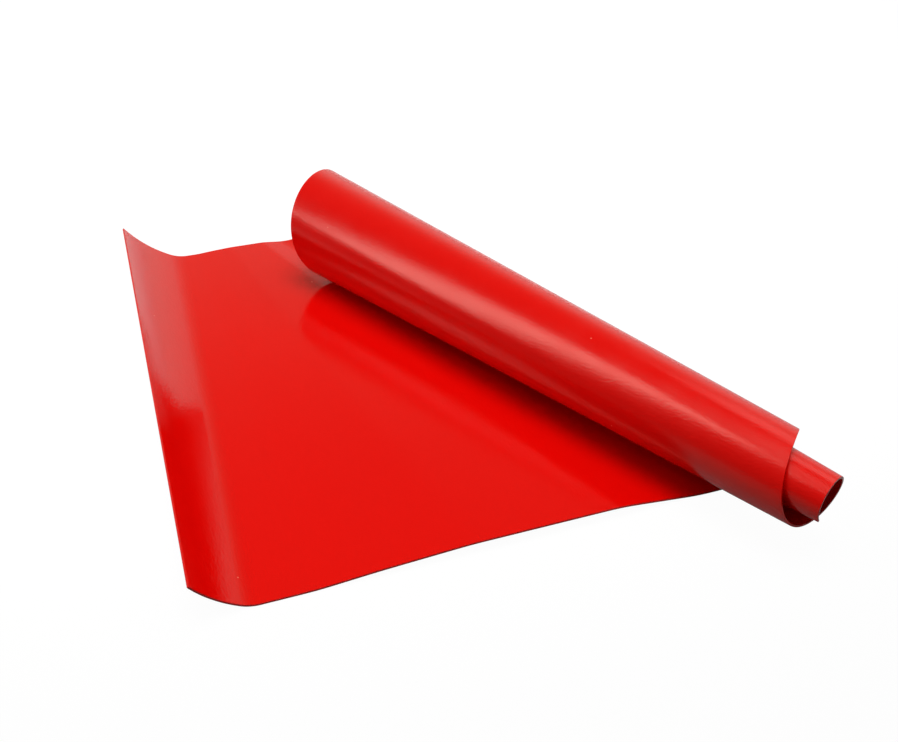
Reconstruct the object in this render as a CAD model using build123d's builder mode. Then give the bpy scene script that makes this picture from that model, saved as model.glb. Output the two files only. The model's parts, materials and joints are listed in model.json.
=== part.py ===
"""Silicone baking mat, lying partly unrolled.

The mat is one flat sheet of silicone rubber with square corners. Its free edge curls up off the
table, its middle lies as a bed that arches slightly, and the rest is rolled up on a skew, so the
roll is wider at its far end and its inner turns stick out at its near end.

Rubber sheet bends without stretching, about straight lines that cross it from the near edge to the
far edge. Each such line is a ruling, and is given by how far along the flat mat, from the free edge,
it meets either side edge. Where the sheet curves, it is made of narrow flat strips that fold a little
at each ruling. The sheet is divided along some of its rulings into stretches. Each stretch hinges on
the one before it along the ruling between them, on the outside of the bend.

X runs along the mat, Y across it from the near edge to the far edge, and Z up. The origin is on the
table, under the middle of the whole.
"""

import os
from math import radians, tan

from build123d import *

# The flat sheet
mat_length = 420.0
mat_width = 295.0
mat_thickness = 1.0

# The curl of the free edge: its length along either side edge, and how far it turns up.
# A crease beside the bed takes the first part of that turn, and a gentle flare the rest.
curl_near_length = 32.0
curl_far_length = 43.0
crease_angle = 29.5
flare_angle = 26.0
crease_length_share = 0.25
flare_stretches = 2

# The bed, between the curl and the roll. The roll starts on a slant, further from the free edge at
# the near edge than at the far edge.
bed_near_length = 201.0
roll_slant_angle = 23.78

# The arch in the bed. It rises to its full height at the near edge, between two flat feet.
arch_height = 4.5
arch_rest_share = 0.045
arch_foot_share = 0.09
arch_ramp_share = 0.36
arch_bend_share = 0.04

# The roll: how far it turns, and how wide its loops are at each quarter turn from the bed inwards,
# along the near edge and along the far edge
roll_angle = 666.0
roll_stretches = 18
quarter_turn_angle = 90.0
full_turn_angle = 360.0
near_loop_shares = (0.99, 1.0, 0.90, 0.645, 0.53, 0.565, 0.475, 0.335, 0.335)
far_loop_shares = (1.0, 0.977, 0.953, 0.905, 0.84, 0.783, 0.737, 0.694, 0.68)

# Each curved stretch of the sheet has this many strips
stretch_strips = 8

# Where the roll starts along either side edge, and so how long the bed is at the far edge
roll_near_start = curl_near_length + bed_near_length
roll_far_start = roll_near_start - mat_width * tan(radians(roll_slant_angle))
bed_far_length = roll_far_start - curl_far_length

CORNERS = ("near_under", "near_top", "far_under", "far_top")


def flat_ruling(near_along, far_along):
    """A ruling's two ends on the flat sheet's middle layer, as it lies on the table"""
    middle_layer = mat_thickness / 2
    return Vector(near_along, 0, middle_layer), Vector(far_along, mat_width, middle_layer)


def fold(near_along, far_along, turn):
    """The move that turns up what lies beyond a ruling of the flat sheet"""
    near_end, far_end = flat_ruling(near_along, far_along)
    about = near_end - far_end
    return Location(near_end) * Location((0, 0, 0), about, turn) * Location(near_end).inverse()


def bend(stations, place):
    """Bend the sheet smoothly through stations, each (near_along, far_along, turn so far)

    Between two stations the sheet leans half way between their turns. The result is one ruling for
    each station: its four corners, on the sheet's underside and top at either side edge.
    """
    rulings = []
    lean = stations[0][2]
    for here, ahead in zip(stations, stations[1:] + stations[-1:]):
        near_along, far_along, turn = here
        place = place * fold(near_along, far_along, turn - lean)
        near_end, far_end = flat_ruling(near_along, far_along)
        half_wall = Vector(0, 0, mat_thickness / 2)
        points = (near_end - half_wall, near_end + half_wall, far_end - half_wall, far_end + half_wall)
        rulings.append({corner: (place * Location(at)).position for corner, at in zip(CORNERS, points)})
        lean = (turn + ahead[2]) / 2
        place = place * fold(near_along, far_along, lean - turn)
    return rulings


def curl_stations():
    """The free edge, from the bed outwards: a crease, then the flare"""
    crease_near = curl_near_length * crease_length_share
    crease_far = curl_far_length * crease_length_share
    stations = []
    for step in range(stretch_strips):
        share = step / stretch_strips
        near_left = curl_near_length - crease_near * share
        far_left = curl_far_length - crease_far * share
        stations.append((near_left, far_left, -crease_angle * share))
    flare_steps = flare_stretches * stretch_strips
    for step in range(flare_steps + 1):
        share = step / flare_steps
        near_left = (curl_near_length - crease_near) * (1 - share)
        far_left = (curl_far_length - crease_far) * (1 - share)
        stations.append((near_left, far_left, -crease_angle - flare_angle * share))
    return stations


def loop_share(shares, turn):
    """A loop's share after a turn, read between the two quarter turns beside it"""
    quarter, beyond = divmod(turn / quarter_turn_angle, 1)
    before, after = shares[int(quarter)], shares[int(quarter) + 1]
    return before + (after - before) * beyond


def roll_stations():
    """The roll, from the bed to the mat's end, which is itself a ruling

    Each step turns by the same angle, so it uses up sheet in proportion to the loop's width there.
    """
    steps = roll_stretches * stretch_strips
    turns = [roll_angle * step / steps for step in range(steps + 1)]
    edges = []
    for start, shares in ((roll_near_start, near_loop_shares), (roll_far_start, far_loop_shares)):
        widths = [loop_share(shares, (a + b) / 2) for a, b in zip(turns, turns[1:])]
        rolled_length = mat_length - start
        edges.append([start + rolled_length * sum(widths[:step]) / sum(widths) for step in range(steps + 1)])
    return list(zip(edges[0], edges[1], turns))


def stretches(rulings):
    """The rulings of each stretch. Two stretches share the ruling between them."""
    starts = range(0, len(rulings) - 1, stretch_strips)
    return [rulings[start : start + stretch_strips + 1] for start in starts]


def plan_middle(rulings):
    """The middle of the mat's outline, seen from above"""
    points = [point for ruling in rulings for point in ruling.values()]
    across = [point.X for point in points]
    along = [point.Y for point in points]
    return (min(across) + max(across)) / 2, (min(along) + max(along)) / 2


def flat_face(*corners):
    return Face(Wire(Polyline(*corners, close=True).edges()))


def stretch(rulings):
    """One stretch of the sheet: flat strips from ruling to ruling, closed by the sheet's own edges"""
    start, end = rulings[0], rulings[-1]
    faces = [
        flat_face(side["near_under"], side["near_top"], side["far_top"], side["far_under"])
        for side in (start, end)
    ]
    for here, ahead in zip(rulings, rulings[1:]):
        for layer in ("under", "top"):
            near, far = f"near_{layer}", f"far_{layer}"
            faces.append(flat_face(here[near], here[far], ahead[far], ahead[near]))
        for edge in ("near", "far"):
            under, top = f"{edge}_under", f"{edge}_top"
            lines = Line(here[under], ahead[under]), Line(here[top], ahead[top])
            faces.append(Face.make_surface_from_curves(*lines))
    with BuildPart() as strips:
        add(Solid(Shell(faces)))
    return strips


def arch_section(length):
    """The arch's section along one side edge, between the feet: ramp, crown and ramp"""
    crown = arch_height * length / bed_near_length
    outline_shares = [
        (arch_rest_share, 0),
        (arch_foot_share, 0),
        (arch_ramp_share, 1),
        (1 - arch_ramp_share, 1),
        (1 - arch_foot_share, 0),
        (1 - arch_rest_share, 0),
    ]
    # Each bend takes the same share of the length on either side of its corner
    ramp_length = length * (arch_ramp_share - arch_foot_share)
    bend_radius = 2 * length * arch_bend_share * ramp_length / crown
    with BuildLine() as section:
        walls = []
        for lift in (0, mat_thickness):
            points = [(length * along, crown * up + lift) for along, up in outline_shares]
            walls.append(FilletPolyline(*points, radius=bend_radius))
        under, top = walls
        Line(under @ 0, top @ 0)
        Line(under @ 1, top @ 1)
    return section.line


def foot_outline(start_share, end_share):
    """A flat foot's outline on the table, across the bed from the near edge to the far edge"""
    near_side = [near_corner + Vector(bed_near_length * share, 0, 0) for share in (start_share, end_share)]
    far_side = [far_corner + Vector(bed_far_length * share, 0, 0) for share in (end_share, start_share)]
    return Polyline(*near_side, *far_side, close=True)


# Where the flat sheet's corner lies, so that the whole is centred on the origin
unplaced = bend(curl_stations(), Location()) + bend(roll_stations(), Location())
middle_x, middle_y = plan_middle(unplaced)
home = Location((-middle_x, -middle_y, 0))

curl_rulings = bend(curl_stations(), home)
roll_rulings = bend(roll_stations(), home)
pieces = {}

# The bed lies between the curl and the roll
near_corner = home.position + Vector(curl_near_length, 0, 0)
far_corner = home.position + Vector(curl_far_length, mat_width, 0)
near_plane = Plane(near_corner, x_dir=(1, 0, 0), z_dir=(0, -1, 0))
far_plane = Plane(far_corner, x_dir=(1, 0, 0), z_dir=(0, -1, 0))
with BuildPart() as bed:
    with BuildSketch(near_plane) as near_section:
        add(arch_section(bed_near_length))
        make_face()
    with BuildSketch(far_plane) as far_section:
        add(arch_section(bed_far_length))
        make_face()
    loft(ruled=True)
    for start_share, end_share in ((0, arch_rest_share), (1 - arch_rest_share, 1)):
        with BuildSketch() as foot:
            with BuildLine():
                foot_outline(start_share, end_share)
            make_face()
        extrude(amount=mat_thickness)
pieces["bed"] = bed

# The free edge's curl, from the bed outwards
for number, rulings in enumerate(stretches(curl_rulings)):
    name = "free_edge_crease" if number == 0 else f"free_edge_flare_{number}"
    pieces[name] = stretch(rulings)

# The roll, from the bed inwards
for number, rulings in enumerate(stretches(roll_rulings)):
    turned = roll_angle * number / roll_stretches
    name = "outer_turn" if turned < full_turn_angle else "inner_turn"
    pieces[f"{name}_{number + 1:02d}"] = stretch(rulings)

os.makedirs("parts", exist_ok=True)
for name, piece in pieces.items():
    piece.part.label = name
    export_step(piece.part, f"parts/{name}.step")
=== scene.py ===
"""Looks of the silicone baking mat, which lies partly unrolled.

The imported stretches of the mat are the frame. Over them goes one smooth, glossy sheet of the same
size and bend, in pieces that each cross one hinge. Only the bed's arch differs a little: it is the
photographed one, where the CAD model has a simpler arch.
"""

import json
from collections import namedtuple
from math import asin, cos, pi, radians, sin, tan

import bpy
import numpy as np
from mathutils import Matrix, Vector


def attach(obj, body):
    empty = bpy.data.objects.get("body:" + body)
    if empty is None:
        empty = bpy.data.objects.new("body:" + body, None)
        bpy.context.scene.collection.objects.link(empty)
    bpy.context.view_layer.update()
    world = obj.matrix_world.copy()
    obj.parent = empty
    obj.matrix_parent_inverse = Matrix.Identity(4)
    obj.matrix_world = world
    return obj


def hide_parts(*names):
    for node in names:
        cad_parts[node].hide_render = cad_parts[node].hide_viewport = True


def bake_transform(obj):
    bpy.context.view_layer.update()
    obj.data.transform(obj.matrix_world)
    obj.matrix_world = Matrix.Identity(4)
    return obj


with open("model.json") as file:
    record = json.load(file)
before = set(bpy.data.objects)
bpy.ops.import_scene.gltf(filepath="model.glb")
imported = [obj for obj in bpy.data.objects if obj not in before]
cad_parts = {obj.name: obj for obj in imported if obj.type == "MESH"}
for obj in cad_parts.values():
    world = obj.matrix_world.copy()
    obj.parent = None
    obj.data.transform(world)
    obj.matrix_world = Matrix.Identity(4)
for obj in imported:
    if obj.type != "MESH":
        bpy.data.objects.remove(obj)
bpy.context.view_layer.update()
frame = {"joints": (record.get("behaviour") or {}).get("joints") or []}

# The flat sheet, in metres. All sizes and angles but the arch's are the CAD model's, and the edges'
# rounding is only here.
mat_length = 0.420
mat_width = 0.295
mat_thickness = 0.001
edge_radius = 0.00018

# The free edge's curl
curl_near_length = 0.032
curl_far_length = 0.043
crease_angle = 29.5
flare_angle = 26.0
crease_length_share = 0.25
flare_stretches = 2

# The bed's length at the near edge, and the slant of the line where the roll starts
bed_near_length = 0.201
roll_slant_angle = 23.78

# The bed's arch: its height at the near edge, where along the bed it rises and falls, and how far it
# is rounded off
arch_height = 0.0041
arch_along_shares = (0, 0.11, 0.24, 0.43, 0.77, 0.955, 1)
arch_up_shares = (0, 0, 0.5, 1, 1, 0, 0)
arch_rounding_share = 0.045

# The roll: how far it turns, and how wide its loops are at each quarter turn from the bed inwards,
# along the near edge and along the far edge
roll_angle = 666.0
roll_stretches = 18
quarter_turn_angle = 90.0
near_loop_shares = (0.99, 1.0, 0.90, 0.645, 0.53, 0.565, 0.475, 0.335, 0.335)
far_loop_shares = (1.0, 0.977, 0.953, 0.905, 0.84, 0.783, 0.737, 0.694, 0.68)

# Each piece has a tongue inside the one before it, so that no light shows where they meet
tongue_inset = 0.00004

# The share of the bed at either end that goes with the piece beside it
bed_foot_share = 0.0375

# How finely the sheet is divided: rows for each stretch of the curl or roll, rows along the bed,
# columns across, and steps round each rounded edge
stretch_rows = 24
bed_rows = 80
columns = 36
edge_steps = 3

# The places along the bed at which the arch is worked out
fine_shares = np.linspace(0, 1, 1001)

joints = {joint["name"]: joint for joint in frame["joints"]}

roll_near_start = curl_near_length + bed_near_length
roll_far_start = roll_near_start - mat_width * tan(radians(roll_slant_angle))

# Where the flat sheet's near corner at the free edge would lie, from where the roll's hinge is
home = np.array(joints["unroll_01"]["pos_m"]) - [roll_near_start, 0, 0]

# A straight line across the sheet's middle layer, from the near edge to the far edge, with the
# sheet's upward side there and how far along the flat sheet it meets either edge
Row = namedtuple("Row", "near far normal near_along far_along")


# The sheet's shape


def unit(vector):
    return vector / np.linalg.norm(vector)


def fold(near_along, far_along, turn):
    """The move that turns up what lies beyond a line across the flat sheet, as a 4 x 4 matrix"""
    near_end = np.array([near_along, 0, mat_thickness / 2])
    x, y, z = unit(near_end - [far_along, mat_width, mat_thickness / 2])
    cross = np.array([[0, -z, y], [z, 0, -x], [-y, x, 0]])
    angle = radians(turn)
    move = np.eye(4)
    move[:3, :3] += sin(angle) * cross + (1 - cos(angle)) * cross @ cross
    move[:3, 3] = near_end - move[:3, :3] @ near_end
    return move


def bend(stations):
    """Bend the sheet through stations, each (near_along, far_along, turn so far), into rows

    Between two stations the sheet leans half way between their turns.
    """
    place = np.eye(4)
    place[:3, 3] = home
    rows = []
    lean = stations[0][2]
    for here, ahead in zip(stations, stations[1:] + stations[-1:]):
        near_along, far_along, turn = here
        place = place @ fold(near_along, far_along, turn - lean)
        near = place @ [near_along, 0, mat_thickness / 2, 1]
        far = place @ [far_along, mat_width, mat_thickness / 2, 1]
        rows.append(Row(near[:3], far[:3], place[:3, 2], near_along, far_along))
        lean = (turn + ahead[2]) / 2
        place = place @ fold(near_along, far_along, lean - turn)
    return rows


def curl_rows():
    """The free edge, from the bed outwards: a crease, then the flare"""
    crease_near = curl_near_length * crease_length_share
    crease_far = curl_far_length * crease_length_share
    stations = []
    for share in np.linspace(0, 1, stretch_rows, endpoint=False):
        near_left = curl_near_length - crease_near * share
        far_left = curl_far_length - crease_far * share
        stations.append((near_left, far_left, -crease_angle * share))
    for share in np.linspace(0, 1, flare_stretches * stretch_rows + 1):
        near_left = (curl_near_length - crease_near) * (1 - share)
        far_left = (curl_far_length - crease_far) * (1 - share)
        stations.append((near_left, far_left, -crease_angle - flare_angle * share))
    return bend(stations)


def roll_rows():
    """The roll, from the bed to the mat's end. Each step uses up sheet as its loop is wide."""
    turns = np.linspace(0, roll_angle, roll_stretches * stretch_rows + 1)
    middle_turns = (turns[:-1] + turns[1:]) / 2
    quarters = quarter_turn_angle * np.arange(len(near_loop_shares))
    edges = []
    for start, shares in ((roll_near_start, near_loop_shares), (roll_far_start, far_loop_shares)):
        used = np.concatenate([[0], np.cumsum(np.interp(middle_turns, quarters, shares))])
        edges.append(start + (mat_length - start) * used / used[-1])
    return bend(list(zip(*edges, turns)))


def arch_rise():
    """How high the arch is, as a share of its height, and how steep, all along the bed"""
    rises = np.interp(fine_shares, arch_along_shares, arch_up_shares)
    window = np.ones(round(arch_rounding_share * len(fine_shares)))

    # Averaged over the window once, the corners become bends, and twice, they start and end softly
    for _ in range(2):
        rises = np.convolve(rises, window / len(window), "same")
    return rises, np.gradient(rises, fine_shares)


def bed_rows_between(curl_start, roll_start):
    """The bed, from the curl's first row to the roll's first row"""
    rises, slopes = arch_rise()
    bed_far_length = roll_start.far_along - curl_start.far_along
    far_height = arch_height * bed_far_length / bed_near_length
    rows = []
    for share in np.linspace(0, 1, bed_rows + 1):
        rise, slope = (np.interp(share, fine_shares, values) for values in (rises, slopes))
        near = curl_start.near + share * (roll_start.near - curl_start.near)
        far = curl_start.far + share * (roll_start.far - curl_start.far)
        near = near + [0, 0, arch_height * rise]
        far = far + [0, 0, far_height * rise]
        normal = unit(np.cross([bed_near_length, 0, arch_height * slope], far - near))
        near_along = curl_start.near_along + share * bed_near_length
        far_along = curl_start.far_along + share * bed_far_length
        rows.append(Row(near, far, normal, near_along, far_along))
    return rows


def between(a, b, share):
    """The row a share of the way from one row to another"""
    near, far, normal, near_along, far_along = (x + share * (y - x) for x, y in zip(a, b))
    return Row(near, far, unit(normal), near_along, far_along)


def spacing(a, b):
    """How far apart two rows lie on the flat sheet, square to them, half way across"""
    length = (b.near_along + b.far_along - a.near_along - a.far_along) / 2
    skew = np.arctan2(a.far_along - a.near_along, mat_width)
    return abs(length) * cos(skew)


# Meshes of the sheet


def outline_across():
    """The sheet's outline across one row: (across, half height, lean of the surface outwards)"""
    angles = [pi / 2 * step / edge_steps for step in range(edge_steps, 0, -1)]
    rounded = [
        (edge_radius * (1 - sin(a)), mat_thickness / 2 - edge_radius * (1 - cos(a)), a)
        for a in angles
    ]
    flat = np.linspace(edge_radius, mat_width - edge_radius, columns + 1)
    outline = [(across, half, -lean) for across, half, lean in rounded]
    outline += [(across, mat_thickness / 2, 0.0) for across in flat]
    outline += [(mat_width - across, half, lean) for across, half, lean in reversed(rounded)]
    return outline


def row_points(row, lip, inset):
    """A row's points, normals and places on the flat sheet, along the top and back underneath

    lip is 0 but where the sheet ends, where it is the lean of the rounded end, outwards. inset is how
    far a tongue's faces lie inside the sheet's.
    """
    line = unit(row.far - row.near)
    ahead = np.cross(line, row.normal)
    skew = np.arctan2(row.far_along - row.near_along, mat_width)
    along_sheet = sin(skew) * line + cos(skew) * ahead
    across_sheet = cos(skew) * line - sin(skew) * ahead
    lip_half = mat_thickness / 2 - edge_radius * (1 - cos(lip))
    outline = outline_across()
    points, normals, flat_places = [], [], []
    for side in (1, -1):
        for across, half, lean in outline[::side]:
            middle = row.near + (row.far - row.near) * across / mat_width
            if lip_half < half:
                half, outwards, tilt = lip_half, along_sheet * np.sign(lip), abs(lip)
            else:
                outwards, tilt = across_sheet * np.sign(lean), abs(lean)
            points.append(middle + side * (half - inset) * row.normal)
            normals.append(side * cos(tilt) * row.normal + sin(tilt) * outwards)
            share = across / mat_width
            along = row.near_along + share * (row.far_along - row.near_along)
            flat_places.append((along, across))
    return points, normals, flat_places


def sheet_mesh(name, rows, lips, insets):
    """A closed piece of the sheet through rows, with the surface's own normals at every corner"""
    points, normals, flat_places = [], [], []
    for row, lip, inset in zip(rows, lips, insets):
        for kept, new in zip((points, normals, flat_places), row_points(row, lip, inset)):
            kept.extend(new)

    # The faces between rows, and those that close the first and the last row
    count = len(points) // len(rows)
    pairs = count // 2
    faces, ends = [], []
    for i in range(len(rows) - 1):
        for j in range(count):
            k = (j + 1) % count
            faces.append((i * count + j, (i + 1) * count + j, (i + 1) * count + k, i * count + k))
    last = (len(rows) - 1) * count
    for k in range(pairs - 1):
        start = (k, k + 1, count - 2 - k, count - 1 - k)
        ends.append(start)
        ends.append(tuple(last + at for at in reversed(start)))
    mesh = bpy.data.meshes.new(name)
    mesh.from_pydata([tuple(p) for p in points], [], faces + ends)

    # The normals at every corner, the places on the flat sheet, and which side is the underside
    corner_normals = [normals[at] for face in faces for at in face]
    for face in ends:
        a, b, c = (points[at] for at in face[:3])
        corner_normals += [unit(np.cross(b - a, c - b))] * len(face)
    layer = mesh.uv_layers.new(name="flat_sheet")
    corners = [at for face in faces + ends for at in face]
    layer.data.foreach_set("uv", np.array([flat_places[at] for at in corners]).ravel())
    underside = mesh.attributes.new("underside", "FLOAT", "POINT")
    underside.data.foreach_set("value", ([0.0] * pairs + [1.0] * pairs) * len(rows))
    mesh.shade_smooth()
    mesh.normals_split_custom_set([tuple(n) for n in corner_normals])
    mesh.update()
    piece = bpy.data.objects.new(name, mesh)
    bpy.context.scene.collection.objects.link(piece)
    return piece


# Materials


def linear(hex_colour):
    """An sRGB hex colour as linear red, green, blue and alpha"""
    shades = [int(hex_colour[at : at + 2], 16) / 255 for at in (0, 2, 4)]
    return [s / 12.92 if s <= 0.04045 else ((s + 0.055) / 1.055) ** 2.4 for s in shades] + [1.0]


def add_node(tree, kind, settings=None, **inputs):
    """Adds a node. An input is named, or numbered after _, and is a value or another node's output."""
    made = tree.nodes.new(kind)
    for key, value in (settings or {}).items():
        setattr(made, key, value)
    for key, value in inputs.items():
        socket = made.inputs[int(key[1:]) if key[1:].isdigit() else key.replace("_", " ")]
        if isinstance(value, bpy.types.NodeSocket):
            tree.links.new(value, socket)
        else:
            socket.default_value = value
    return made


def new_material(name):
    material = bpy.data.materials.new(name)
    material.use_nodes = True
    material.node_tree.nodes.clear()
    return material, material.node_tree


def silicone_bumps(tree, place):
    """The normal of the rubber's surface, from its place on the flat sheet"""
    # Very fine lines across the sheet, from the plates' polishing, which the gloss shows
    lines_each_metre = (1100, 350, 1)
    lines_scale = add_node(
        tree,
        "ShaderNodeVectorMath",
        {"operation": "MULTIPLY"},
        _0=place,
        _1=lines_each_metre,
    )
    lines = add_node(
        tree,
        "ShaderNodeTexNoise",
        Vector=lines_scale.outputs["Vector"],
        Scale=1.0,
        Detail=3.0,
    )
    fine_bump = add_node(
        tree,
        "ShaderNodeBump",
        Strength=0.5,
        Distance=0.00016,
        Height=lines.outputs["Fac"],
    )

    # The slow waviness of soft rubber
    waves = add_node(tree, "ShaderNodeTexNoise", Vector=place, Scale=28.0, Detail=1.0)
    bump = add_node(
        tree,
        "ShaderNodeBump",
        Strength=0.6,
        Distance=0.0002,
        Height=waves.outputs["Fac"],
        Normal=fine_bump.outputs["Normal"],
    )
    return bump.outputs["Normal"]


def silicone_roughness(tree, place):
    """The top has the finer polish, and handled patches are a little duller"""
    underside_dullness = 0.09
    dullness = add_node(tree, "ShaderNodeTexNoise", Vector=place, Scale=60.0, Detail=4.0)
    polish = add_node(
        tree,
        "ShaderNodeMapRange",
        Value=dullness.outputs["Fac"],
        From_Min=0.3,
        From_Max=0.75,
        To_Min=0.08,
        To_Max=0.16,
    )
    side = add_node(tree, "ShaderNodeAttribute", {"attribute_name": "underside"})
    roughness = add_node(
        tree,
        "ShaderNodeMath",
        {"operation": "MULTIPLY_ADD"},
        _0=side.outputs["Fac"],
        _1=underside_dullness,
        _2=polish.outputs["Result"],
    )
    return roughness.outputs["Value"]


def silicone_colour(tree, place):
    """Deep red, with a few specks of dust

    The dust lies in the middle of some of a pattern's cells. Each cell has a random share, and its
    speck's size is that share of size_range, less size_cut. Most come out below 0 and stay bare.
    """
    size_range, size_cut = 0.11, 0.07
    cells = add_node(tree, "ShaderNodeTexVoronoi", Vector=place, Scale=75.0)
    chosen = add_node(tree, "ShaderNodeSeparateColor", Color=cells.outputs["Color"])
    size = add_node(
        tree,
        "ShaderNodeMath",
        {"operation": "MULTIPLY_ADD"},
        _0=chosen.outputs["Red"],
        _1=size_range,
        _2=-size_cut,
    )
    speck = add_node(
        tree,
        "ShaderNodeMath",
        {"operation": "LESS_THAN"},
        _0=cells.outputs["Distance"],
        _1=size.outputs["Value"],
    )
    colour = add_node(
        tree,
        "ShaderNodeMix",
        {"data_type": "RGBA"},
        _0=speck.outputs["Value"],
        _6=linear("E60502"),
        _7=linear("F0705C"),
    )
    return colour.outputs[2]


def glossy_silicone():
    """Solid-coloured silicone rubber, pressed between polished plates: deep red all through, with a
    gloss that is a little soft"""
    material, tree = new_material("glossy_silicone")
    sheet = add_node(tree, "ShaderNodeUVMap", {"uv_map": "flat_sheet"})
    place = sheet.outputs["UV"]
    shader = add_node(
        tree,
        "ShaderNodeBsdfPrincipled",
        Base_Color=silicone_colour(tree, place),
        Roughness=silicone_roughness(tree, place),
        IOR=1.41,
        Specular_IOR_Level=1.0,
        Specular_Tint=linear("FFCDBC"),
        Normal=silicone_bumps(tree, place),
    )
    add_node(tree, "ShaderNodeOutputMaterial", Surface=shader.outputs["BSDF"])
    return material


def white_share(tree, most):
    """The share of a ray that meets the plain white background, at most the given share

    The camera meets it, and so does what is seen through clear things. Reflections meet a tenth of it,
    because the photograph's gloss shows a dark room around a pale wall.
    """
    reflected_share = 0.1
    path = add_node(tree, "ShaderNodeLightPath")
    direct = add_node(
        tree,
        "ShaderNodeMath",
        {"operation": "ADD"},
        _0=path.outputs["Is Camera Ray"],
        _1=path.outputs["Is Transmission Ray"],
    )
    every = add_node(
        tree,
        "ShaderNodeMath",
        {"operation": "MULTIPLY_ADD"},
        _0=path.outputs["Is Glossy Ray"],
        _1=reflected_share,
        _2=direct.outputs["Value"],
    )
    share = add_node(tree, "ShaderNodeMapRange", Value=every.outputs["Value"], To_Max=most)
    return share.outputs["Result"]


def white_floor():
    """Matt card with painted light and shade: near white behind the mat, grey elsewhere, as the mat's
    gloss shows it

    The camera sees most of it as plain white, and the rest keeps the shadow.
    """
    plain_share = 0.9
    # The middle of the pool of light painted on the card
    painted_light_middle = (0.05, 0.6, 0)
    material, tree = new_material("white_card")
    place = add_node(tree, "ShaderNodeTexCoord")
    offset = add_node(
        tree,
        "ShaderNodeVectorMath",
        {"operation": "DISTANCE"},
        _0=place.outputs["Object"],
        _1=painted_light_middle,
    )
    # Painted light: the card is near white around its middle behind the mat and fades to grey painted
    # shade further away, for light that falls from behind
    dark = add_node(
        tree,
        "ShaderNodeMapRange",
        {"interpolation_type": "SMOOTHSTEP"},
        Value=offset.outputs["Value"],
        From_Min=0.4,
        From_Max=0.9,
    )
    shade = add_node(
        tree,
        "ShaderNodeMix",
        {"data_type": "RGBA"},
        _0=dark.outputs["Result"],
        _6=linear("E6E6E6"),
        _7=linear("5C5C5C"),
    )
    card = add_node(tree, "ShaderNodeBsdfDiffuse", Color=shade.outputs[2])
    plain = add_node(tree, "ShaderNodeEmission", Color=linear("FFFFFF"), Strength=1.08)
    both = add_node(
        tree,
        "ShaderNodeMixShader",
        _0=white_share(tree, plain_share),
        _1=card.outputs["BSDF"],
        _2=plain.outputs["Emission"],
    )
    add_node(tree, "ShaderNodeOutputMaterial", Surface=both.outputs["Shader"])
    return material


# The sheet, in pieces

silicone = glossy_silicone()


def with_lip(rows, lips):
    """Rows that end in the sheet's own rounded end"""
    end, inside = rows[-1], rows[-2]
    gap = spacing(end, inside)
    leans = [pi / 2 * step / edge_steps for step in range(edge_steps + 1)]
    rounded = [between(end, inside, edge_radius * (1 - sin(lean)) / gap) for lean in leans]
    return rows[:-1] + rounded, lips[:-1] + leans


def finish_piece(piece, node):
    """Give a piece its material, and hide the imported part that it stands for"""
    piece.data.materials.append(silicone)
    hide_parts(node)


def bending_pieces(rows, chain, foot, ahead_sign):
    """The pieces of a bent run, from the bed outwards, each across one hinge

    chain holds the joints' names, and foot the bed's last rows before the run, which go with its
    first piece. ahead_sign is 1 for a run towards the mat's rolled end and -1 for one towards its
    free edge.
    """
    for number, name in enumerate(chain):
        joint = joints[name]
        hinge = number * stretch_rows
        first, last = hinge - stretch_rows // 2, hinge + stretch_rows // 2
        if number == len(chain) - 1:
            last = len(rows) - 1

        # The rows that the piece takes, and its tongue
        if number == 0:
            laid = foot[:-1] + rows[: last + 1]
            tongue = []
        else:
            laid = rows[first : last + 1]
            tongue = rows[first - 1 : first + 1]
        taken, lips = laid, [0.0] * len(laid)
        if number == len(chain) - 1:
            taken, lips = with_lip(taken, lips)
        insets = [tongue_inset] * len(tongue) + [0.0] * len(taken)
        lips = [0.0] * len(tongue) + lips
        taken = tongue + taken

        # A mesh's rows run from the free edge towards the rolled end, so that its faces look outwards
        if ahead_sign < 0:
            taken, insets, lips = taken[::-1], insets[::-1], [-lean for lean in lips[::-1]]
        piece = sheet_mesh("mat_" + joint["child"], taken, lips, insets)
        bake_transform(piece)
        finish_piece(piece, joint["child"])


# The bed, less the foot at either end that goes with the run beside it
curl = curl_rows()
roll = roll_rows()
bed = bed_rows_between(curl[0], roll[0])
foot_length = round(bed_foot_share * bed_rows)
curl_foot = bed[: foot_length + 1]
bed_middle = bed[foot_length:-foot_length]
roll_foot = bed[-foot_length - 1 :]
level = [0.0] * len(bed_middle)
bed_piece = sheet_mesh("mat_bed", bed_middle, level, level)
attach(bed_piece, "bed")
finish_piece(bed_piece, "bed")

# The roll and the curl
unrolling = [name for name in joints if name.startswith("unroll")]
flattening = [name for name in joints if name.startswith("flatten")]
bending_pieces(roll, unrolling, roll_foot, 1)
bending_pieces(curl, flattening, curl_foot[::-1], -1)


# The floor

floor_half = 6.0
floor_drop = 0.0001
floor_mesh = bpy.data.meshes.new("floor")
corners = [(x * floor_half, y * floor_half, 0) for x, y in ((-1, -1), (1, -1), (1, 1), (-1, 1))]
floor_mesh.from_pydata(corners, [], [(0, 1, 2, 3)])
floor_mesh.materials.append(white_floor())
floor = bpy.data.objects.new("floor", floor_mesh)
floor.location.z = -floor_drop
bpy.context.scene.collection.objects.link(floor)


# The camera: its place over the table, from the near end of the bed's edge, and where it looks

camera_right, camera_back, camera_height = -0.0233, 0.2856, 0.2989
camera_turn, camera_dip = 19.27, 34.40
camera_lens, camera_sensor = 41.5, 36.0


def direction(azimuth, elevation):
    """A direction, by its azimuth from +Y towards +X and its elevation, in degrees"""
    turn, rise = radians(azimuth), radians(elevation)
    return Vector((sin(turn) * cos(rise), cos(turn) * cos(rise), sin(rise)))


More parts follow.
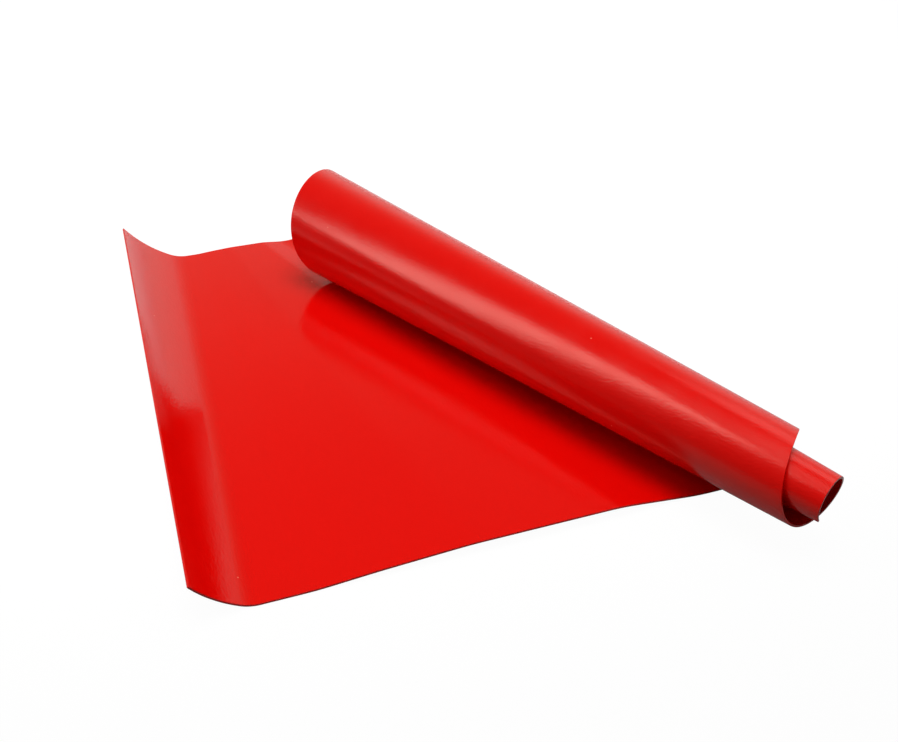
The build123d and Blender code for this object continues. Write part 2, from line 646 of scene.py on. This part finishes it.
camera = bpy.data.objects.new("camera", bpy.data.cameras.new("camera"))
camera.data.lens = camera_lens
camera.data.sensor_width = camera_sensor
camera.data.clip_start = 0.01
camera.location = Vector(home) + Vector((curl_near_length + camera_right, -camera_back, camera_height))
camera.rotation_mode = "QUATERNION"
camera.rotation_quaternion = direction(camera_turn, -camera_dip).to_track_quat("-Z", "Y")
bpy.context.scene.collection.objects.link(camera)
bpy.context.scene.camera = camera


# The light

lamp_distance = 2.0


def soft_box(name, azimuth, elevation, half_width, half_height, radiance):
    """A lamp behind a rectangle of white cloth that faces the mat

    Its half width and half height are the angles that they fill from there, in degrees, and its
    radiance is 1 for what shows as white.
    """
    lamp = bpy.data.lights.new(name, "AREA")
    lamp.shape = "RECTANGLE"
    lamp.size = 2 * lamp_distance * tan(radians(half_width))
    lamp.size_y = 2 * lamp_distance * tan(radians(half_height))
    lamp.energy = pi * lamp.size * lamp.size_y * radiance
    box = bpy.data.objects.new(name, lamp)
    towards = direction(azimuth, elevation)
    box.location = towards * lamp_distance
    box.rotation_mode = "QUATERNION"
    box.rotation_quaternion = (-towards).to_track_quat("-Z", "Y")
    bpy.context.scene.collection.objects.link(box)
    return box


soft_box("tall_box_left", azimuth=-71, elevation=43, half_width=7.5, half_height=25, radiance=3.9)
soft_box("wide_box_right", azimuth=85, elevation=50, half_width=30, half_height=12, radiance=1.1)
overhead = soft_box(
    "box_overhead", azimuth=180, elevation=89.9, half_width=17, half_height=17, radiance=6.7
)

# The photograph's gloss doesn't show the light from above
overhead.visible_glossy = False


def pale_wall(tree):
    """A pale wall behind the mat, brightest at its foot, in a dark room"""
    wall_azimuth = 20
    sky = add_node(tree, "ShaderNodeTexCoord")
    facing = add_node(
        tree,
        "ShaderNodeVectorMath",
        {"operation": "DOT_PRODUCT"},
        _0=sky.outputs["Generated"],
        _1=direction(wall_azimuth, 0),
    )
    width = add_node(
        tree,
        "ShaderNodeMapRange",
        {"interpolation_type": "SMOOTHSTEP"},
        Value=facing.outputs["Value"],
        From_Min=0.1,
        From_Max=0.7,
    )
    height = add_node(tree, "ShaderNodeSeparateXYZ", Vector=sky.outputs["Generated"])
    fade = add_node(
        tree,
        "ShaderNodeMapRange",
        {"interpolation_type": "SMOOTHSTEP"},
        Value=height.outputs["Z"],
        From_Min=0.15,
        From_Max=0.68,
        To_Min=0.64,
        To_Max=0.05,
    )
    brightness = add_node(
        tree,
        "ShaderNodeMath",
        {"operation": "MULTIPLY"},
        _0=width.outputs["Result"],
        _1=fade.outputs["Result"],
    )
    warmth = add_node(
        tree,
        "ShaderNodeMapRange",
        Value=height.outputs["Z"],
        From_Min=0.3,
        From_Max=0.75,
    )
    paint = add_node(
        tree,
        "ShaderNodeMix",
        {"data_type": "RGBA"},
        _0=warmth.outputs["Result"],
        _6=linear("FFFAF0"),
        _7=linear("FFE680"),
    )
    return add_node(
        tree,
        "ShaderNodeBackground",
        Color=paint.outputs[2],
        Strength=brightness.outputs["Value"],
    )


world = bpy.data.worlds.new("studio")
bpy.context.scene.world = world
world.use_nodes = True
world.node_tree.nodes.clear()
white = add_node(world.node_tree, "ShaderNodeBackground", Color=linear("FFFFFF"), Strength=0.98)
seen = add_node(
    world.node_tree,
    "ShaderNodeMixShader",
    _0=white_share(world.node_tree, 1.0),
    _1=pale_wall(world.node_tree).outputs["Background"],
    _2=white.outputs["Background"],
)
add_node(world.node_tree, "ShaderNodeOutputWorld", Surface=seen.outputs["Shader"])
bpy.context.scene.view_settings.view_transform = "Standard"
